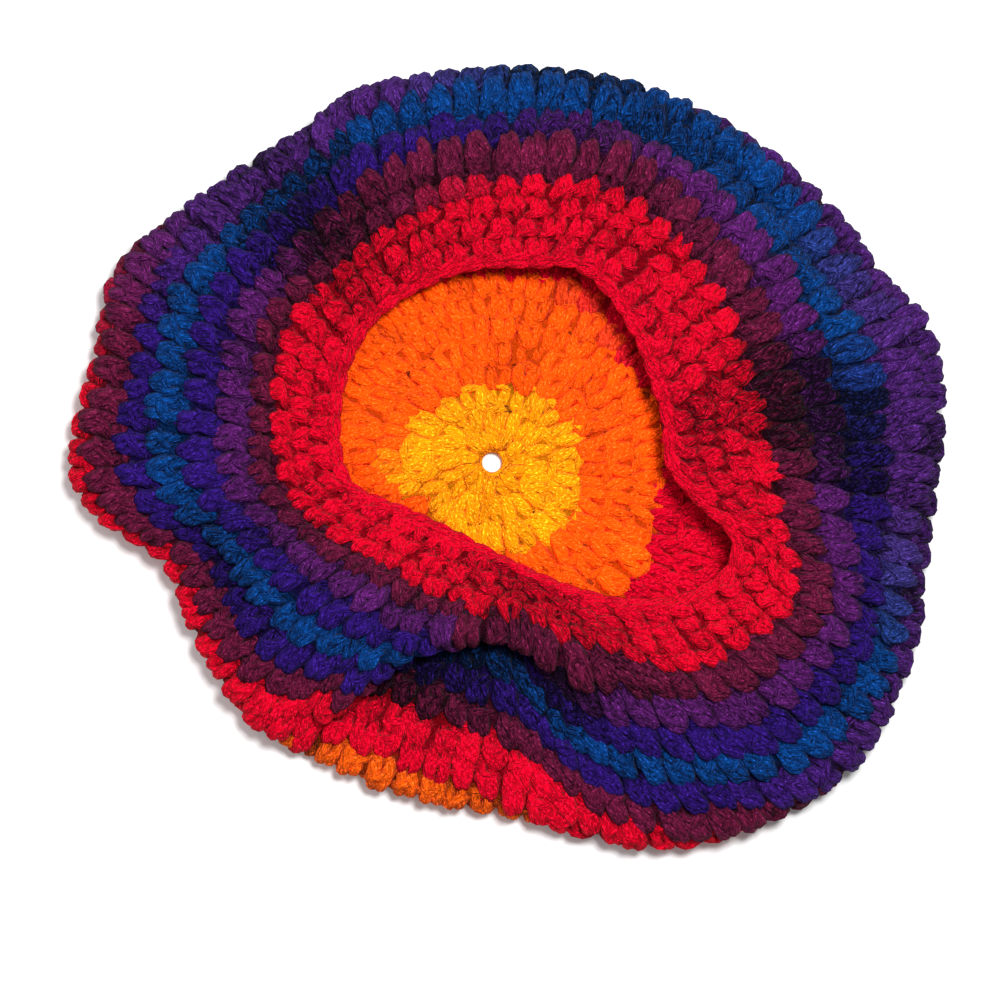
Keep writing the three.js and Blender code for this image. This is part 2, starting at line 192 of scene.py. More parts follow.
# The strands of one stitch. Along the round in stitch widths, across it in round heights
# towards the opening, and out of the fabric in millimetres.
STRANDS = {
    "left leg": {
        "side": "outer", "detail": "leg", "radius": 2.4, "flat": 0.95, "taper": "leaf",
        "path": [(-0.06, -0.24, 0.7), (-0.14, -0.02, 1.6), (-0.20, 0.30, 1.6),
                 (-0.22, 0.66, 0.6), (-0.22, 1.04, -1.0)],
    },
    "right leg": {
        "side": "outer", "detail": "leg", "radius": 2.4, "flat": 0.95, "taper": "leaf",
        "path": [(0.12, -0.20, 0.6), (0.17, 0.03, 1.4), (0.21, 0.36, 1.3),
                 (0.23, 0.70, 0.5), (0.24, 1.06, -1.0)],
    },
    "yarn over": {
        "side": "outer", "detail": "fine", "radius": 1.9, "flat": 0.95, "taper": "leaf",
        "path": [(-0.56, 0.22, 0.0), (-0.22, 0.38, 1.9), (0.16, 0.52, 1.9),
                 (0.56, 0.72, -0.2)],
    },
    "top loop": {
        "side": "outer", "detail": "fine", "radius": 2.0, "flat": 0.86, "taper": "bar",
        "path": [(-0.62, 0.92, -0.8), (-0.20, 1.04, -0.3), (0.24, 1.04, -0.3),
                 (0.62, 0.92, -0.8)],
    },
    "inner left leg": {
        "side": "inner", "detail": "fine", "radius": 2.9, "flat": 0.76, "taper": "bar",
        "path": [(-0.10, -0.24, -0.2), (-0.17, 0.06, -1.2), (-0.25, 0.50, -1.4),
                 (-0.30, 1.04, -0.7)],
    },
    "inner right leg": {
        "side": "inner", "detail": "fine", "radius": 2.9, "flat": 0.76, "taper": "bar",
        "path": [(0.10, -0.24, -0.2), (0.17, 0.06, -1.2), (0.25, 0.50, -1.4),
                 (0.30, 1.04, -0.7)],
    },
    "inner bar": {
        "side": "inner", "detail": "fine", "radius": 1.8, "flat": 0.8, "taper": "bar",
        "path": [(-0.60, 0.74, -0.4), (-0.20, 0.94, -1.5), (0.20, 1.02, -1.5),
                 (0.62, 0.90, -0.4)],
    },
}
# How thick a strand is from its first end to its last
TAPER = {
    "leaf": [0.36, 0.80, 0.96, 1.0, 0.98, 0.90, 0.62],
    "bar": [0.50, 0.84, 0.98, 1.0, 1.0, 0.96, 0.78],
}
# Sides and cuts of a strand. Those on the hidden side of these rounds are plain.
STRAND_DETAIL = {"leg": (8, 5), "fine": (6, 4), "plain": (5, 3)}
HIDDEN_ROUNDS = {"inner": range(10, 21), "outer": range(1, 11)}

# The stitches of a round, and how far they are set off from those of the last, in stitches
FEWEST_STITCHES = 7
ROUND_SHIFT = 0.38
# The first round's strands begin over the middle of the ring
CROWN_ROUND_HEIGHT = 9
FIRST_ROUND_START = RING_WIDTH / 2 / CROWN_ROUND_HEIGHT

# A taller stitch is fuller: against this height, by this power, and within these limits
ROUND_HEIGHT = 8.8
FULLNESS_POWER = 0.4
FULLNESS_LIMITS = (0.85, 1.2)

# How unlike the stitches are: how far each leans and each strand's knots stray, how thick
# the strands are, and how light the stitch and each strand is
LEAN = 0.06
STRAY = 0.055
# What those are multiplied by along the round, across it and out of the fabric
SWAY = np.array([1, 1, 5])
THICKNESS_LIMITS = (0.88, 1.08)
STITCH_TONE = 0.05
STRAND_TONE = 0.06

# The edging's chain: the length of a link, and its three strands, given as a stitch's are
LINK_LENGTH = 7.6
LINK_STRAY = 0.02
LINK_SWAY = np.array([1, 1, 4])
EDGING_YARN = {"radius": 1.7, "flat": 0.86, "taper": "bar"}
LINK_STRANDS = [
    [(-0.55, -0.02, 0.6), (-0.15, -0.19, 1.5), (0.3, -0.15, 1.3), (0.72, -0.02, 0.3)],
    [(-0.55, 0.02, 0.6), (-0.15, 0.13, 0.9), (0.3, 0.11, 0.7), (0.72, 0.02, 0.0)],
    [(-0.60, 0.00, -0.6), (-0.20, 0.08, -1.2), (0.20, 0.08, -1.2), (0.60, 0.00, -0.6)],
]

# The sunken yarn behind the strands, to the outside and to the inside of the middle
CORE_OUTSIDE = 0.8
CORE_INSIDE = 1.8
# How much painted shade darkens each side of the sunken yarn, for the gaps between strands
CORE_SHADE = {"outer": -0.7, "inner": -0.55}
CORE_START = 0.35
CORE_COLUMNS = 240
CORE_ROWS_A_ROUND = 3

# Yarn lower than this over the fabric's middle is darkened with painted shade, by so much at the
# full depth
CREVICE_TOP = 3.0
CREVICE_DEPTH = 3.6
CREVICE_SHADE = {"outer": -0.75, "inner": -0.55}

# Hollows of the fabric: over how many degrees they are judged, how deep a full one is in
# millimetres, and how much painted shade darkens the yarn in it
HOLLOW_ANGLE = 22
HOLLOW_DEPTH = 3.2
HOLLOW_SHADE = -0.85

# Yarn that would come lower than this is flattened on the surface the beret lies on
SETTLE_HEIGHT = 1.6

# The yarn's surface: its girth, its plies and their twist, and the length of yarn that
# strands start at random on
YARN_GIRTH = 12.0
PLIES = 4
PLY_TWIST = 0.45
PATTERN_RUN = 40
# Fibres and flecks: noise a millimetre across the twist and along it, and where it begins
FIBRES = (1.7, 0.25, 0.0)
FLECKS = (2.6, 0.9, 7.0)
FUZZ_A_METRE = 1500
PATCHES_A_METRE = 90
# How strongly each shows in light and dark, and in relief, whose depth is in millimetres
SHADE = {"plies": 0.10, "fibres": 2.8, "fuzz": 1.0, "patches": 0.5}
RELIEF = {"plies": 0.35, "fibres": 1.6, "fuzz": 1.2, "depth": 0.6}
# How much of the light and dark a dye shows, and how much less of it the redder it is
PALE_DYE = {"shown": 1.4, "less": 0.92}
DARKEST = 0.08
# Painted glints on fibre ends: the noise they begin at, how sharply, and how light the painted
# highlight gets
FLECK_GLINT = {"from": 0.555, "sharpness": 8.0, "most": 0.85, "gain": 3.0}
# The tint added in the painted glints
FLECK_GLINT_TINT = (0.010, 0.006, 0.026)

# The studio. The floor lies a hair under the beret, by so many millimetres. Each lamp has a
# place and a size in metres and a power in watts.
FLOOR_SIZE = 6
FLOOR_DROP = 0.2
FLOOR_COLOUR = (0.9, 0.9, 0.9, 1)
DAYLIGHT = 0.28
LAMPS = [
    ("key", (0.22, 0.26, 1.16), 0.26, 16),
    ("fill", (-0.8, 0.4, 1.0), 1.2, 6),
]
# The camera looks straight down at a spot beside the crown's centre, in millimetres
LENS = 135
SENSOR = 36
VIEW_WIDTH = 322.2
AIM = (2.58, -12.24, 12)

SEED = 20
random = np.random.default_rng(SEED)


def around(table, column, angles):
    """A table's column at some angles, on smooth curves round the circle."""
    rows = np.array(table["angle"], dtype=float)
    values = np.array(table[column], dtype=float)
    lap = np.concatenate([rows[-2:] - 360, rows, rows[:2] + 360])
    held = np.concatenate([values[-2:], values, values[:2]])
    turned = np.mod(angles, 360)
    after = np.searchsorted(lap, turned, side="right")
    b, c = after - 1, after
    span = lap[c] - lap[b]
    t = (turned - lap[b]) / span
    slope_b = (held[c] - held[b - 1]) / (lap[c] - lap[b - 1]) * span
    slope_c = (held[c + 1] - held[b]) / (lap[c + 1] - lap[b]) * span
    return (
        (2 * t**3 - 3 * t**2 + 1) * held[b]
        + (t**3 - 2 * t**2 + t) * slope_b
        + (3 * t**2 - 2 * t**3) * held[c]
        + (t**3 - t**2) * slope_c
    )


def mix(a, b, share):
    """The value that lies a share of the way from a to b."""
    return a + (b - a) * share


def pleat_formed(angle):
    """How fully the pleat is formed at an angle, from 0 to 1."""
    first, last = PLEAT["angle"][0], PLEAT["angle"][-1]
    if angle <= first or angle >= last:
        return 0.0
    return float(np.clip(around(PLEAT, "formed", np.array([angle]))[0], 0, 1))


def section_guide(angle):
    """Straight runs that one radial section of the fabric's middle lies along."""

    def at(table, column):
        return float(around(table, column, np.array([angle]))[0])

    middle = WALL / 2
    rim = at(RIM, "reach") - middle
    rim_top = at(HEIGHTS, "rim") - middle
    turn = RIM_TURN * rim_top
    edge = at(BAND, "edge") + middle * EDGE_SET_BACK
    fourth = at(BAND, "fourth")
    outer, inner = at(HEIGHTS, "outer"), at(HEIGHTS, "inner")
    fourth_height, edge_height = at(HEIGHTS, "fourth"), at(HEIGHTS, "edge")
    rim_in = rim - RIM_TOP * turn
    heights = [outer, mix(outer, inner, 0.5), inner, mix(inner, fourth_height, 0.5)]
    plain = [
        (mix(rim_in, fourth, share), height) for share, height in zip(UNDERSIDE_SHARES, heights)
    ]
    lip, lip_height = at(PLEAT, "lip"), at(PLEAT, "height")
    foot = min(lip + at(PLEAT, "foot"), rim_in - FOOT_ROOM)
    behind_lip = min(fourth, lip - LIP_FLAT)
    pleated = [
        (min(foot + FOOT_FLAT, mix(foot, rim_in, 0.5)), rim_top - FOOT_RISE),
        (foot, rim_top - FOOT_DROP),
        (lip + LIP_OVERHANG, lip_height),
        (mix(lip, behind_lip, 0.5), mix(lip_height, inner, 0.7)),
    ]
    formed = pleat_formed(angle)
    underside = [
        (mix(p[0], q[0], formed), mix(p[1], q[1], formed)) for p, q in zip(plain, pleated)
    ]
    return np.array(
        [
            (HOLE_RADIUS, middle),
            (rim - RIM_FLAT * turn, middle),
            (rim, middle),
            (rim, rim_top),
            (rim_in, rim_top),
            *underside,
            (mix(fourth, behind_lip, formed), fourth_height),
            (edge + EDGE_FLAT, mix(edge_height, fourth_height, 0.2)),
            (edge, edge_height),
        ]
    )


def rounded_section(guide):
    """The section with its corners cut off again and again, and each point's length."""
    stations = np.arange(len(guide), dtype=float)[:, None]
    line = np.hstack([guide, stations])
    for _ in range(ROUNDING_PASSES):
        near = mix(line[:-1], line[1:], 0.25)
        far = mix(line[:-1], line[1:], 0.75)
        cut = np.stack([near, far], axis=1).reshape(-1, 3)
        line = np.vstack([line[:1], cut, line[-1:]])
    steps = np.linalg.norm(np.diff(line[:, :2], axis=0), axis=1)
    return line, np.concatenate([[0], np.cumsum(steps)])


def round_marks(angle, line, lengths):
    """Where each round lies along a section, as rising rounds and lengths."""

    def length_at(station):
        return float(np.interp(station, line[:, 2], lengths))

    under = float(around(RIM, "under", np.array([angle]))[0])
    formed = pleat_formed(angle)
    marks = [
        (0, 0),
        (ROUNDS - under, length_at(STATION_RIM)),
        (FOURTH_FROM_EDGE, length_at(STATION_FOURTH)),
        (ROUNDS, length_at(STATION_EDGE)),
    ]
    if formed > 0:
        rounds, along = zip(*marks)
        pleat_marks = []
        for station, column in ((STATION_COMES_OUT, "comesOutAt"), (STATION_LIP, "turnsAt")):
            evenly = float(np.interp(length_at(station), along, rounds))
            pleated = ROUNDS - float(around(PLEAT, column, np.array([angle]))[0])
            pleat_marks.append((mix(evenly, pleated, formed), length_at(station)))
        marks[2:2] = pleat_marks
    return np.array(marks, dtype=float)


class Fabric:
    """The fabric's middle and its way out, held on a fine grid of angles and rounds."""

    # The grid's columns, and its rows a round
    ANGLES = 720
    STEPS = 20
    # How often it is smoothed, and how many columns each way its slope is judged over
    SMOOTHING_PASSES = 3
    SLOPE_COLUMNS = 3

    def __init__(self, origin):
        rounds = np.arange(ROUNDS * self.STEPS + 1) / self.STEPS
        degrees = np.arange(self.ANGLES) * 360 / self.ANGLES
        points = np.zeros((self.ANGLES, len(rounds), 3))
        for index, angle in enumerate(degrees):
            line, lengths = rounded_section(section_guide(angle))
            marks = round_marks(angle, line, lengths)
            along = np.interp(rounds, marks[:, 0], marks[:, 1])
            reach = np.interp(along, lengths, line[:, 0])
            turned = math.radians(angle)
            points[index, :, 0] = reach * math.cos(turned)
            points[index, :, 1] = reach * math.sin(turned)
            points[index, :, 2] = np.interp(along, lengths, line[:, 1])
        for _ in range(self.SMOOTHING_PASSES):
            points = (np.roll(points, 1, 0) + 2 * points + np.roll(points, -1, 0)) / 4
            inner = (points[:, :-2] + 2 * points[:, 1:-1] + points[:, 2:]) / 4
            points[:, 1:-1] = inner
        reach = self.SLOPE_COLUMNS
        along_round = np.roll(points, -reach, 0) - np.roll(points, reach, 0)
        across = np.gradient(points, axis=1)
        out = np.cross(along_round, across)
        out /= np.linalg.norm(out, axis=2, keepdims=True)
        self.points = points + np.array(origin)
        self.out = out
        self.hollow = self.hollows(points[..., 2])

    def hollows(self, height):
        """How far each place lies in a hollow of its own layer, from 0 to 1."""
        ways = np.fft.fftfreq(self.ANGLES, 1 / self.ANGLES)
        spread = np.exp(-0.5 * (ways * math.radians(HOLLOW_ANGLE)) ** 2)
        around_it = np.fft.ifft(np.fft.fft(height, axis=0) * spread[:, None], axis=0).real
        return np.clip((around_it - height) / HOLLOW_DEPTH, 0, 1)

    def at(self, angles, rounds):
        """Points and ways out at angles in degrees and rounds, in millimetres."""
        column = np.mod(angles, 360) / 360 * self.ANGLES
        row = np.clip(rounds, 0, ROUNDS) * self.STEPS
        beyond = (rounds - np.clip(rounds, 0, ROUNDS))[..., None]
        c0 = np.floor(column).astype(int) % self.ANGLES
        c1 = (c0 + 1) % self.ANGLES
        r0 = np.minimum(np.floor(row).astype(int), ROUNDS * self.STEPS - 1)
        u = (column - np.floor(column))[..., None]
        v = (row - r0)[..., None]
        result = []
        for grid in (self.points, self.out):
            near = mix(grid[c0, r0], grid[c1, r0], u)
            far = mix(grid[c0, r0 + 1], grid[c1, r0 + 1], u)
            result.append(mix(near, far, v))
            if grid is self.points:
                result[0] = result[0] + (far - near) * self.STEPS * beyond
        return result

    def spaced(self, at_round, shares):
        """Angles at even shares of the way round one round, and its whole length."""
        angles = np.arange(self.ANGLES + 1) * 360 / self.ANGLES
        ring, _ = self.at(angles, np.full(angles.shape, float(at_round)))
        steps = np.linalg.norm(np.diff(ring, axis=0), axis=1)
        run = np.concatenate([[0], np.cumsum(steps)])
        laps = np.floor(shares)
        return np.interp((shares - laps) * run[-1], run, angles) + 360 * laps, run[-1]


def dye_colour(dye):
    """The yarn's colour at some places along its dye."""
    begin, places, colours = 0.0, [], []
    for name, last in DYE:
        places.extend([begin, last - DYE_BLEND])
        colours.extend([COLOUR[name]] * 2)
        begin = last + DYE_BLEND
    parts = np.array(colours).T
    return np.stack([np.interp(dye, places, part) for part in parts], axis=1)


def give_yarn(mesh, dye, tone_and_shade):
    """A mesh's attributes for the yarn material: its dye's colour, and how light it is, from its
    own random tone and from painted shade.
    """
    colour = mesh.attributes.new("dye", "FLOAT_VECTOR", "POINT")
    colour.data.foreach_set("vector", dye_colour(dye).astype(np.float32).ravel())
    shade = mesh.attributes.new("tone_and_shade", "FLOAT", "POINT")
    shade.data.foreach_set("value", tone_and_shade.astype(np.float32))


def mesh_piece(name, points, faces, uvs, dye, tone_and_shade):
    """A mesh of points in millimetres with its yarn coordinates and attributes."""
    mesh = bpy.data.meshes.new(name)
    mesh.from_pydata((points * MM).tolist(), [], faces)
    layer = mesh.uv_layers.new(name="yarn")
    layer.data.foreach_set("uv", uvs.astype(np.float32).ravel())
    give_yarn(mesh, dye, tone_and_shade)
    mesh.shade_smooth()
    piece = bpy.data.objects.new(name, mesh)
    bpy.context.collection.objects.link(piece)
    return piece


def strand_pattern(sides, cuts):
    """One straight strand, modelled once: where its points and corners lie along and round it."""
    bpy.ops.mesh.primitive_cylinder_add(
        vertices=sides, radius=1, depth=1, end_fill_type="TRIFAN"
    )
    strand = bpy.context.object
    mesh = strand.data
    # Only the edges along the strand are cut
    bpy.ops.object.mode_set(mode="EDIT")
    bpy.ops.mesh.select_mode(type="EDGE")
    bpy.ops.mesh.select_all(action="DESELECT")
    bpy.ops.object.mode_set(mode="OBJECT")
    for edge in mesh.edges:
        a, b = (mesh.vertices[index].co for index in edge.vertices)
        edge.select = abs(a.z - b.z) > 0.5
    bpy.ops.object.mode_set(mode="EDIT")
    bpy.ops.mesh.subdivide(number_cuts=cuts)
    bpy.ops.object.mode_set(mode="OBJECT")
    points = np.array([vertex.co for vertex in mesh.vertices])
    along = points[:, 2] + 0.5
    side = np.mod(np.arctan2(points[:, 1], points[:, 0]), 2 * math.pi)
    spread = np.hypot(points[:, 0], points[:, 1])
    faces = [list(polygon.vertices) for polygon in mesh.polygons]
    # A face over the seam has all its corners on the same turn
    corner_side = []
    for face in faces:
        turns = side[face] / (2 * math.pi)
        if turns.max() - turns.min() > 0.5:
            turns = np.where(turns < 0.5, turns + 1, turns)
        corner_side.extend(turns)
    bpy.data.objects.remove(strand)
    bpy.data.meshes.remove(mesh)
    return {
        "stations": np.linspace(0, 1, cuts + 2),
        "along": along,
        "side": side,
        "spread": spread,
        "faces": faces,
        "corner_point": np.concatenate(faces),
        "corner_side": np.array(corner_side),
    }


def smooth_path(knots, stations):
    """Points along smooth curves through knots, for knots shaped (stitches, knots, 3)."""
    count = knots.shape[1]
    padded = np.concatenate(
        [2 * knots[:, :1] - knots[:, 1:2], knots, 2 * knots[:, -1:] - knots[:, -2:-1]], axis=1
    )
    place = stations * (count - 1)
    start = np.minimum(np.floor(place).astype(int), count - 2)
    t = (place - start)[None, :, None]
    p0, p1, p2, p3 = (padded[:, start + step] for step in range(4))
    return 0.5 * (
        2 * p1
        + (p2 - p0) * t
        + (2 * p0 - 5 * p1 + 4 * p2 - p3) * t**2
        + (3 * p1 - p0 - 3 * p2 + p3) * t**3
    )


def settle(points):
    """Yarn that would go under the surface it lies on is flattened against it."""
    height = points[..., 2]
    flattened = SETTLE_HEIGHT * np.exp((height - SETTLE_HEIGHT) / SETTLE_HEIGHT)
    points[..., 2] = np.where(height < SETTLE_HEIGHT, flattened, height)
    return points


def station_of(pattern):
    """Which station of a strand each of its pattern's points is at."""
    return np.rint(pattern["along"] * (len(pattern["stations"]) - 1)).astype(int)


def sweep(pattern, centre, way, radius, strand):
    """Strands swept along centre lines shaped (strands, stations, 3), and each point's rise."""
    tangent = np.gradient(centre, axis=1)
    tangent /= np.linalg.norm(tangent, axis=2, keepdims=True)
    up = way - tangent * np.sum(way * tangent, axis=2, keepdims=True)
    up /= np.linalg.norm(up, axis=2, keepdims=True)
    beside = np.cross(tangent, up)
    station = station_of(pattern)
    taper = TAPER[strand["taper"]]
    swell = np.interp(pattern["stations"], np.linspace(0, 1, len(taper)), taper)
    size = radius[:, None] * (swell[station] * pattern["spread"])[None, :]
    turned = pattern["side"][None, :]
    rise = strand["flat"] * size * np.cos(turned)
    points = (
        centre[:, station]
        + rise[..., None] * up[:, station]
        + (size * np.sin(turned))[..., None] * beside[:, station]
    )
    return points, rise


def painted_crevice_shade(pattern, path, rise, side):
    """How much painted shade darkens each point of some strands, for how deep it lies between
    stitches.
    """
    height = path[..., 2][:, station_of(pattern)] + rise
    if side == "inner":
        height = -height
    return CREVICE_SHADE[side] * np.clip((CREVICE_TOP - height) / CREVICE_DEPTH, 0, 1)


def dye_at(at_round, angles):
    """How far along the yarn's colours the stitches of one round are."""
    join = np.interp(at_round, JOIN["round"], JOIN["angle"])
    back = np.mod(angles - join, 360) / 360
    return (at_round - 1) + (1 - back)


def strand_set(pattern, centre, points, dye, tone_and_shade, crevice_shade):
    """Many strands of one kind, settled on the surface, as join_strands takes them."""
    return {
        "pattern": pattern,
        "points": settle(points),
        "length": np.linalg.norm(np.diff(centre, axis=1), axis=2).sum(axis=1),
        "dye": dye,
        "tone_and_shade": tone_and_shade,
        "crevice_shade": crevice_shade,
    }


def join_strands(parts):
    """Points, faces, coordinates and attributes of many swept strands as one mesh."""
    faces, points, uvs, dye, tone_and_shade = [], [], [], [], []
    base = 0
    for part in parts:
        pattern = part["pattern"]
        count, each = part["points"].shape[:2]
        for _ in range(count):
            faces.extend([corner + base for corner in face] for face in pattern["faces"])
            base += each
        start = random.uniform(0, PATTERN_RUN, count)
        along = pattern["along"][pattern["corner_point"]]
        u = start[:, None] + part["length"][:, None] * along[None, :]
        v = np.broadcast_to(pattern["corner_side"][None, :], u.shape)
        uvs.append(np.stack([u, v], axis=2).reshape(-1, 2))
        points.append(part["points"].reshape(-1, 3))
        dye.append(np.repeat(part["dye"], each))
        # Each point's lightness: the strand's own tone with painted shade added
        tone_and_shade.append((part["tone_and_shade"][:, None] + part["crevice_shade"]).ravel())
    points, uvs, dye, tone_and_shade = (np.concatenate(values) for values in (points, uvs, dye, tone_and_shade))
    return points, faces, uvs, dye, tone_and_shade


def begin_at_ring(across, knots):
    """Places across the first round, squeezed so that its strands begin at the ring."""
    first, last = min(knots[0][1], FIRST_ROUND_START), knots[-1][1]
    share = (across - first) / (last - first)
    return mix(FIRST_ROUND_START, last, share)


def stitch_round(fabric, patterns, at_round):
    """The swept strands of every stitch of one round."""
    middle_round = at_round - 0.5
    _, length = fabric.spaced(middle_round, np.zeros(1))
    count = max(FEWEST_STITCHES, round(length / STITCH_WIDTH))
    number = np.arange(count)
    lean = random.normal(0, LEAN, (count, 1, 3)) * SWAY
    stitch_angle, _ = fabric.spaced(middle_round, (number + ROUND_SHIFT * at_round) / count)
    base, _ = fabric.at(stitch_angle, np.full(count, at_round - 1.0))
    top, _ = fabric.at(stitch_angle, np.full(count, float(at_round)))
    height = np.linalg.norm(top - base, axis=1)
    fullness = np.clip((height / ROUND_HEIGHT) ** FULLNESS_POWER, *FULLNESS_LIMITS)
    dye = dye_at(at_round, stitch_angle)
    column = np.rint(np.mod(stitch_angle, 360) / 360 * fabric.ANGLES).astype(int)
    # Stitches in a hollow of the fabric are darkened with painted shade
    hollow = fabric.hollow[column % fabric.ANGLES, int(middle_round * fabric.STEPS)]
    tone_and_shade = random.normal(0, STITCH_TONE, count) + HOLLOW_SHADE * hollow
    parts = []
    for strand in STRANDS.values():
        side = strand["side"]
        hidden = at_round in HIDDEN_ROUNDS[side]
        pattern = patterns["plain" if hidden else strand["detail"]]
        knots = np.array(strand["path"], dtype=float)[None] + lean
        knots = knots + random.normal(0, STRAY, knots.shape) * SWAY
        path = smooth_path(knots, pattern["stations"])
        shares = (number[:, None] + ROUND_SHIFT * at_round + path[..., 0]) / count
        angles, _ = fabric.spaced(middle_round, shares)
        if at_round == 1:
            path[..., 1] = begin_at_ring(path[..., 1], strand["path"])
        middle, out = fabric.at(angles, at_round - 1 + path[..., 1])
        centre = middle + out * path[..., 2:3]
        radius = strand["radius"] * fullness * random.uniform(*THICKNESS_LIMITS, count)
        points, rise = sweep(pattern, centre, out, radius, strand)
        strand_tone_and_shade = tone_and_shade + random.normal(0, STRAND_TONE, count)
        # Painted shade on strand points that lie deep between stitches
        crevice_shade = painted_crevice_shade(pattern, path, rise, side)
        parts.append(strand_set(pattern, centre, points, dye, strand_tone_and_shade, crevice_shade))
    return parts


def core_band(fabric, start, end):
    """A closed ring of sunken yarn between two rounds, darkened with painted shade."""
    rows = max(1, round((end - start) * CORE_ROWS_A_ROUND))
    rounds = np.linspace(start, end, rows + 1)
    angles = np.arange(CORE_COLUMNS) * 360 / CORE_COLUMNS
    grid_angles, grid_rounds = np.meshgrid(angles, rounds, indexing="ij")
    middle, out = fabric.at(grid_angles, grid_rounds)
    outside = middle + out * CORE_OUTSIDE
    inside = (middle - out * CORE_INSIDE)[:, ::-1]
    loop = 2 * (rows + 1)
    points = settle(np.concatenate([outside, inside], axis=1).reshape(-1, 3))
    here = np.arange(CORE_COLUMNS)[:, None] * loop
    beyond = np.roll(np.arange(CORE_COLUMNS), -1)[:, None] * loop
    step = np.arange(loop)[None, :]
    after = (step + 1) % loop
    faces = np.stack([here + step, beyond + step, beyond + after, here + after], axis=2)
    faces = faces.reshape(-1, 4)
    loop_rounds = np.concatenate([grid_rounds, grid_rounds[:, ::-1]], axis=1)
    loop_angles = np.concatenate([grid_angles, grid_angles], axis=1)
    # A row on the line between two rounds belongs to the earlier one
    worked = np.clip(np.ceil(loop_rounds - 1e-6), 1, ROUNDS)
    dye = dye_at(worked, loop_angles).ravel()
    # Each side of the ring is darkened with painted shade
    sides = np.repeat([CORE_SHADE["outer"], CORE_SHADE["inner"]], rows + 1)
    tone_and_shade = np.tile(sides, CORE_COLUMNS)
    uvs = np.zeros((faces.size, 2))
    return points, faces.tolist(), uvs, dye, tone_and_shade


def stack(meshes):
    """Several meshes' points, faces, coordinates and attributes as one."""
    base = 0
    faces = []
    for points, some, *_ in meshes:
        faces.extend([corner + base for corner in face] for face in some)
        base += len(points)
    points, uvs, dye, tone_and_shade = (
        np.concatenate([mesh[index] for mesh in meshes]) for index in (0, 2, 3, 4)
    )
    return points, faces, uvs, dye, tone_and_shade


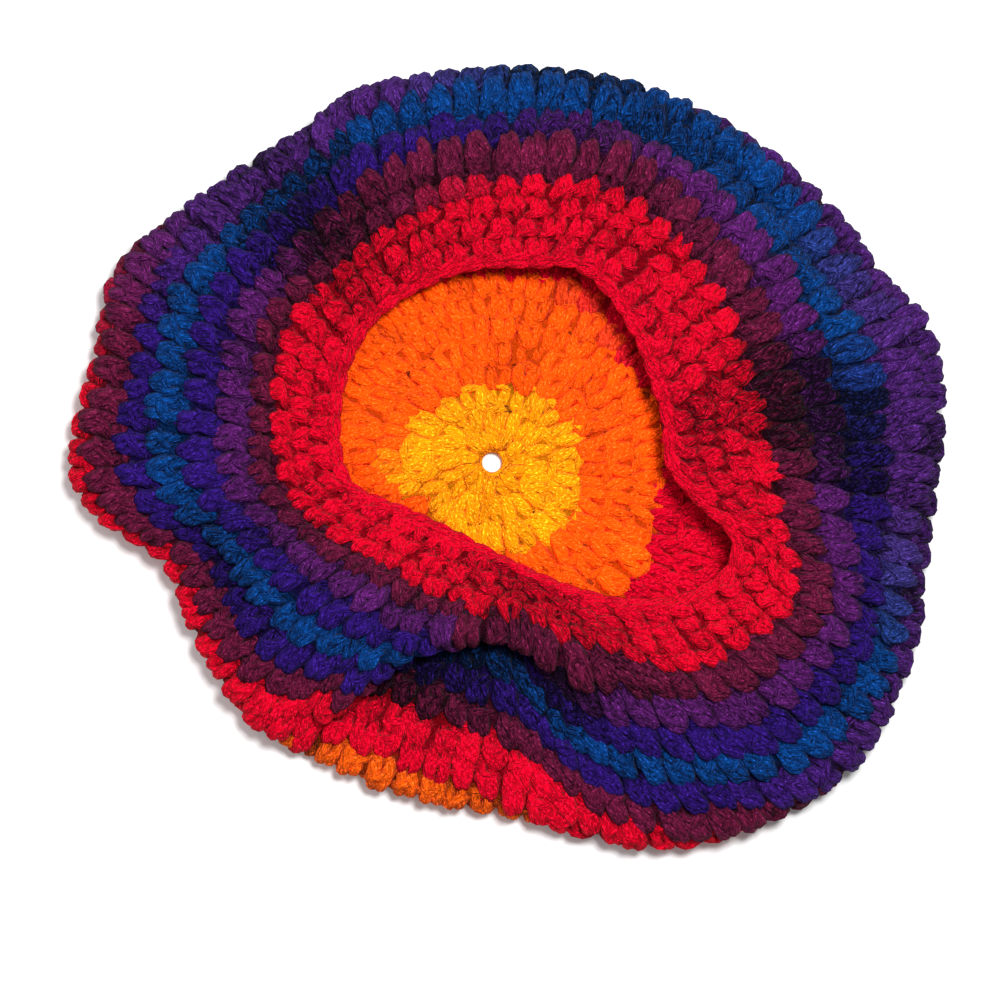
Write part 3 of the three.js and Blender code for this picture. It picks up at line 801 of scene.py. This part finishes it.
def yarn_material():
    """Plied yarn, dyed along its length, with a soft fuzz of fibres."""
    material = bpy.data.materials.new("self_striping_yarn")
    material.use_nodes = True
    nodes, links = material.node_tree.nodes, material.node_tree.links
    shader = nodes["Principled BSDF"]
    shader.inputs["Roughness"].default_value = 0.85
    shader.inputs["Sheen Weight"].default_value = 0.02
    shader.inputs["Sheen Roughness"].default_value = 0.4
    shader.inputs["Specular IOR Level"].default_value = 0.04

    def add(kind, **settings):
        node = nodes.new(kind)
        for name, value in settings.items():
            setattr(node, name, value)
        return node

    def maths(operation, a, b=0):
        node = add("ShaderNodeMath", operation=operation)
        for socket, value in zip(node.inputs, (a, b)):
            if isinstance(value, (int, float)):
                socket.default_value = value
            else:
                links.new(value, socket)
        return node.outputs[0]

    dye = add("ShaderNodeAttribute", attribute_name="dye")
    tone_and_shade = add("ShaderNodeAttribute", attribute_name="tone_and_shade")
    coordinate = add("ShaderNodeTexCoord")
    yarn = add("ShaderNodeUVMap", uv_map="yarn")

    # The plies and their fibres are wound round the strand: places in mm across and along
    # the twist
    split = add("ShaderNodeSeparateXYZ")
    links.new(yarn.outputs["UV"], split.inputs[0])
    girth = maths("MULTIPLY", split.outputs["Y"], YARN_GIRTH)
    across = maths("ADD", girth, maths("MULTIPLY", split.outputs["X"], PLY_TWIST))
    along = maths("SUBTRACT", split.outputs["X"], maths("MULTIPLY", girth, PLY_TWIST))
    plies = maths("SINE", maths("MULTIPLY", across, 2 * math.pi * PLIES / YARN_GIRTH))

    def fibre_noise(across_scale, along_scale, shift):
        drawn = add("ShaderNodeCombineXYZ")
        links.new(maths("MULTIPLY", across, across_scale), drawn.inputs["X"])
        links.new(maths("MULTIPLY", along, along_scale), drawn.inputs["Y"])
        drawn.inputs["Z"].default_value = shift
        noise = add("ShaderNodeTexNoise")
        noise.inputs["Scale"].default_value = 1.0
        noise.inputs["Detail"].default_value = 2
        links.new(drawn.outputs[0], noise.inputs["Vector"])
        return noise.outputs["Fac"]

    fibres = fibre_noise(*FIBRES)
    flecks = fibre_noise(*FLECKS)

    fuzz = add("ShaderNodeTexNoise")
    fuzz.inputs["Scale"].default_value = FUZZ_A_METRE
    fuzz.inputs["Detail"].default_value = 2
    links.new(coordinate.outputs["Object"], fuzz.inputs["Vector"])

    patches = add("ShaderNodeTexNoise")
    patches.inputs["Scale"].default_value = PATCHES_A_METRE
    links.new(coordinate.outputs["Object"], patches.inputs["Vector"])

    def swing(value, amount):
        return maths("MULTIPLY", maths("SUBTRACT", value, 0.5), amount)

    # Dyes with much red in them, the pale ones, show less of the fibres' light and dark
    parted = add("ShaderNodeSeparateXYZ")
    links.new(dye.outputs["Vector"], parted.inputs[0])
    less = maths("MULTIPLY", parted.outputs["X"], PALE_DYE["less"])
    shown = maths("SUBTRACT", PALE_DYE["shown"], less)
    varied = maths("ADD", maths("MULTIPLY", plies, SHADE["plies"]), swing(fibres, SHADE["fibres"]))
    varied = maths("ADD", varied, swing(fuzz.outputs["Fac"], SHADE["fuzz"]))
    varied = maths("ADD", varied, swing(patches.outputs["Fac"], SHADE["patches"]))
    # The attribute lightens or darkens the dye, with random tone and with painted shade
    light = maths("ADD", 1.0, tone_and_shade.outputs["Fac"])
    light = maths("ADD", light, maths("MULTIPLY", varied, shown))
    light = maths("MAXIMUM", light, DARKEST)
    shaded = add("ShaderNodeVectorMath", operation="SCALE")
    links.new(dye.outputs["Vector"], shaded.inputs[0])
    links.new(light, shaded.inputs["Scale"])

    # Painted highlights: fibre ends lightened where they would catch the light
    glint = maths("MULTIPLY", maths("SUBTRACT", flecks, FLECK_GLINT["from"]), FLECK_GLINT["sharpness"])
    glint = maths("MINIMUM", maths("MAXIMUM", glint, 0.0), FLECK_GLINT["most"])
    glinted = add("ShaderNodeMix", data_type="RGBA")
    links.new(glint, glinted.inputs["Factor"])
    links.new(shaded.outputs[0], glinted.inputs["A"])
    glint_colour = add("ShaderNodeVectorMath", operation="MULTIPLY_ADD")
    glint_colour.inputs[1].default_value = (FLECK_GLINT["gain"],) * 3
    glint_colour.inputs[2].default_value = FLECK_GLINT_TINT
    links.new(shaded.outputs[0], glint_colour.inputs[0])
    links.new(glint_colour.outputs[0], glinted.inputs["B"])
    links.new(glinted.outputs["Result"], shader.inputs["Base Color"])

    height = maths("MULTIPLY", plies, RELIEF["plies"])
    height = maths("ADD", height, maths("MULTIPLY", fibres, RELIEF["fibres"]))
    height = maths("ADD", height, maths("MULTIPLY", fuzz.outputs["Fac"], RELIEF["fuzz"]))
    bump = add("ShaderNodeBump")
    bump.inputs["Strength"].default_value = 1.0
    bump.inputs["Distance"].default_value = RELIEF["depth"] * MM
    links.new(height, bump.inputs["Height"])
    links.new(bump.outputs["Normal"], shader.inputs["Normal"])
    return material


def finish_piece(piece, material, node):
    """A piece in its material, riding on the beret's one body in place of its solid."""
    piece.data.materials.append(material)
    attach(piece, "root")
    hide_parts(node)


def crown_centre():
    """The centre of the crown in the frame's plan, from the ring at its hole."""
    low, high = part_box("centre_ring")
    return [(low[0] + high[0]) / 2 / MM, (low[1] + high[1]) / 2 / MM, 0.0]


def edging_strands(fabric, pattern):
    """The chain of slip stitches along the edge: three strands to each link."""
    _, length = fabric.spaced(ROUNDS, np.zeros(1))
    count = round(length / LINK_LENGTH)
    number = np.arange(count)
    radius = np.full(count, EDGING_YARN["radius"])
    dye = np.full(count, ROUNDS - 0.5)
    parts = []
    for path in LINK_STRANDS:
        knots = np.array(path)[None] + random.normal(0, LINK_STRAY, (count, 1, 3)) * LINK_SWAY
        line = smooth_path(knots, pattern["stations"])
        angles, _ = fabric.spaced(ROUNDS, (number[:, None] + line[..., 0]) / count)
        middle, out = fabric.at(angles, ROUNDS + line[..., 1])
        centre = middle + out * line[..., 2:3]
        points, rise = sweep(pattern, centre, out, radius, EDGING_YARN)
        tone_and_shade = random.normal(0, STITCH_TONE, count)
        parts.append(strand_set(pattern, centre, points, dye, tone_and_shade, np.zeros(rise.shape)))
    return parts


def starting_ring(centre):
    """The ring of yarn that the first round is worked into."""
    ring_radius = HOLE_RADIUS + RING_WIDTH / 2
    bpy.ops.mesh.primitive_torus_add(
        major_segments=48,
        minor_segments=12,
        major_radius=ring_radius * MM,
        minor_radius=RING_WIDTH / 2 * MM,
        location=(centre[0] * MM, centre[1] * MM, WALL / 2 * MM),
    )
    ring = bpy.context.object
    ring.name = "starting_ring"
    bpy.ops.object.transform_apply(location=True, rotation=True, scale=True)
    bpy.ops.object.shade_smooth()
    mesh = ring.data
    layer = mesh.uv_layers[0]
    layer.name = "yarn"
    uvs = np.zeros(len(mesh.loops) * 2, dtype=np.float32)
    layer.data.foreach_get("uv", uvs)
    uvs = uvs.reshape(-1, 2) * [2 * math.pi * ring_radius, 1]
    layer.data.foreach_set("uv", uvs.astype(np.float32).ravel())
    give_yarn(mesh, np.ones(len(mesh.vertices)), np.zeros(len(mesh.vertices)))
    return ring


def build_beret(centre):
    """Every stripe's stitches, the edging and the starting ring."""
    fabric = Fabric(centre)
    material = yarn_material()
    patterns = {name: strand_pattern(*detail) for name, detail in STRAND_DETAIL.items()}
    for node, start, end, slot in STRIPES:
        parts = []
        for at_round in range(start + 1, end + 1):
            parts.extend(stitch_round(fabric, patterns, at_round))
        core = core_band(fabric, max(start, CORE_START), end)
        mesh = stack([join_strands(parts), core])
        piece = mesh_piece(node + "_stitches", *mesh)
        finish_piece(piece, material, node)
    edging = mesh_piece("edging_chain", *join_strands(edging_strands(fabric, patterns["fine"])))
    finish_piece(edging, material, "edging")
    ring = starting_ring(centre)
    finish_piece(ring, material, "centre_ring")


def pale_floor():
    """The plain floor under the beret."""
    bpy.ops.mesh.primitive_plane_add(size=FLOOR_SIZE, location=(0, 0, -FLOOR_DROP * MM))
    floor = bpy.context.object
    floor.name = "floor"
    paper = bpy.data.materials.new("pale_floor")
    paper.use_nodes = True
    shader = paper.node_tree.nodes["Principled BSDF"]
    shader.inputs["Base Color"].default_value = FLOOR_COLOUR
    shader.inputs["Roughness"].default_value = 0.9
    floor.data.materials.append(paper)


def soft_light():
    """Even light from all round, and two lamps that look at the middle of the floor."""
    world = bpy.data.worlds.new("studio")
    world.use_nodes = True
    background = world.node_tree.nodes["Background"]
    background.inputs["Color"].default_value = (1, 1, 1, 1)
    background.inputs["Strength"].default_value = DAYLIGHT
    bpy.context.scene.world = world
    bpy.context.scene.view_settings.view_transform = "Standard"
    for name, place, size, power in LAMPS:
        data = bpy.data.lights.new(name, "AREA")
        data.size = size
        data.energy = power
        lamp = bpy.data.objects.new(name, data)
        bpy.context.collection.objects.link(lamp)
        lamp.location = place
        aim = -np.array(place)
        lamp.rotation_euler = (
            math.atan2(math.hypot(aim[0], aim[1]), -aim[2]),
            0,
            math.atan2(aim[1], aim[0]) - math.pi / 2,
        )


def camera_above(centre):
    """A long lens straight above the beret."""
    data = bpy.data.cameras.new("camera")
    data.lens = LENS
    data.sensor_width = SENSOR
    camera = bpy.data.objects.new("camera", data)
    bpy.context.collection.objects.link(camera)
    distance = VIEW_WIDTH * LENS / SENSOR
    spot = np.array(centre) + AIM
    camera.location = (spot + [0, 0, distance]) * MM
    bpy.context.scene.camera = camera


centre = crown_centre()
build_beret(centre)
pale_floor()
soft_light()
camera_above(centre)


def plain(box):
    """A box's corners as plain lists of numbers."""
    return [[float(value) for value in corner] for corner in box]
